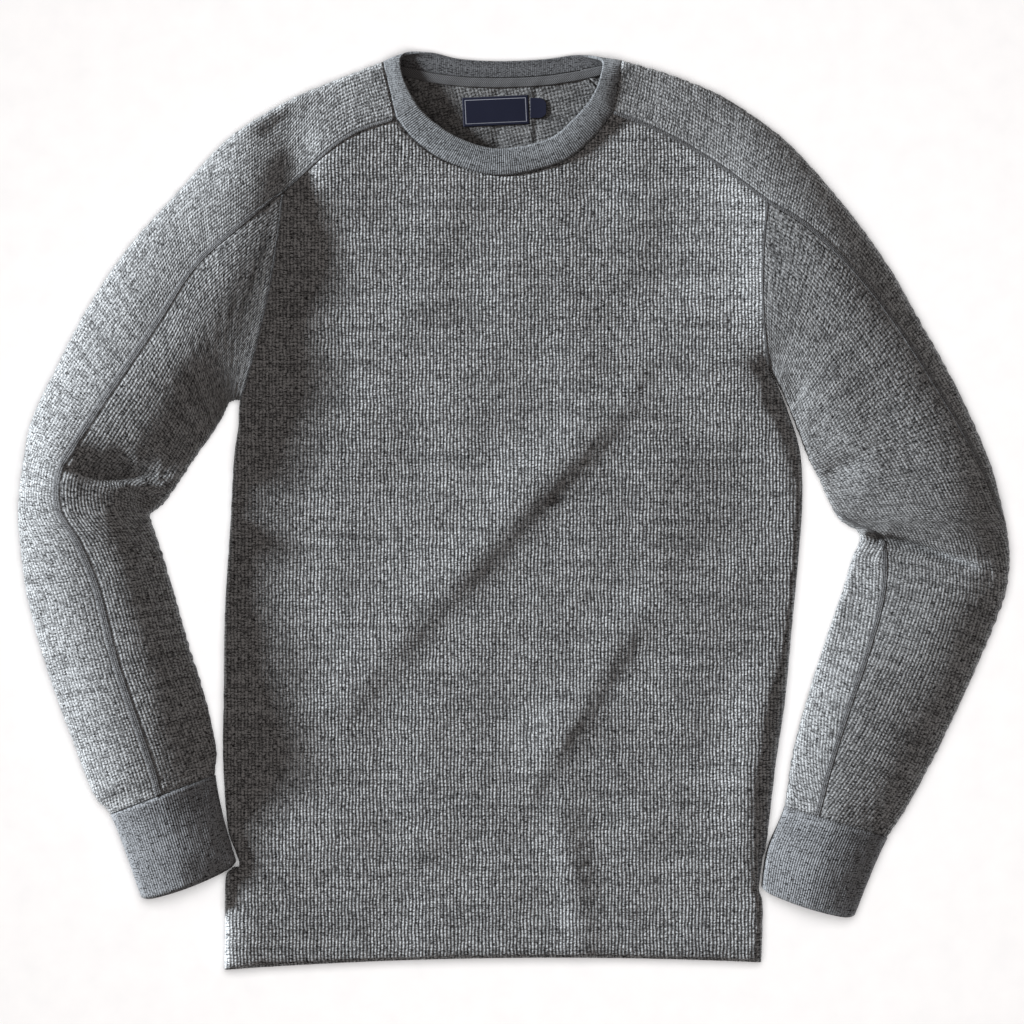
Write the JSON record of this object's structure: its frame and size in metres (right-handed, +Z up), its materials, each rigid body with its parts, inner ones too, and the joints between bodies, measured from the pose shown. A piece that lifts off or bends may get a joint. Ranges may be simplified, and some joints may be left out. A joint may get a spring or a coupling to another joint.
{
  "type": "thermal top",
  "caption": "Long-sleeved waffle-knit thermal top with a crew-neck rib collar, saddle sleeves and rib cuffs, laid flat face up.",
  "frame": {"origin": "middle of the bounding box in plan, on the surface that the garment lies on", "axes": "+Z up out of the front of the garment, +Y from the hem to the neck, +X to the right as seen from above, towards the sleeve that is bent outwards"},
  "size_m": [0.7928, 0.7346, 0.0298],
  "materials": {
    "waffle_knit": "heather grey waffle knit, matt",
    "rib_knit": "heather grey rib knit, matt",
    "neck_tape": "grey twill tape",
    "woven_label": "navy woven label, blank"
  },
  "bodies": {
    "root": {"front_panel": "waffle_knit", "back_panel": "waffle_knit", "left_outer_sleeve": "waffle_knit", "left_under_sleeve": "waffle_knit", "left_cuff": "rib_knit", "right_outer_sleeve": "waffle_knit", "right_under_sleeve": "waffle_knit", "right_cuff": "rib_knit", "collar": "rib_knit", "neck_tape": "neck_tape", "neck_label": "woven_label", "size_tab": "woven_label"}
  },
  "joints": []
}
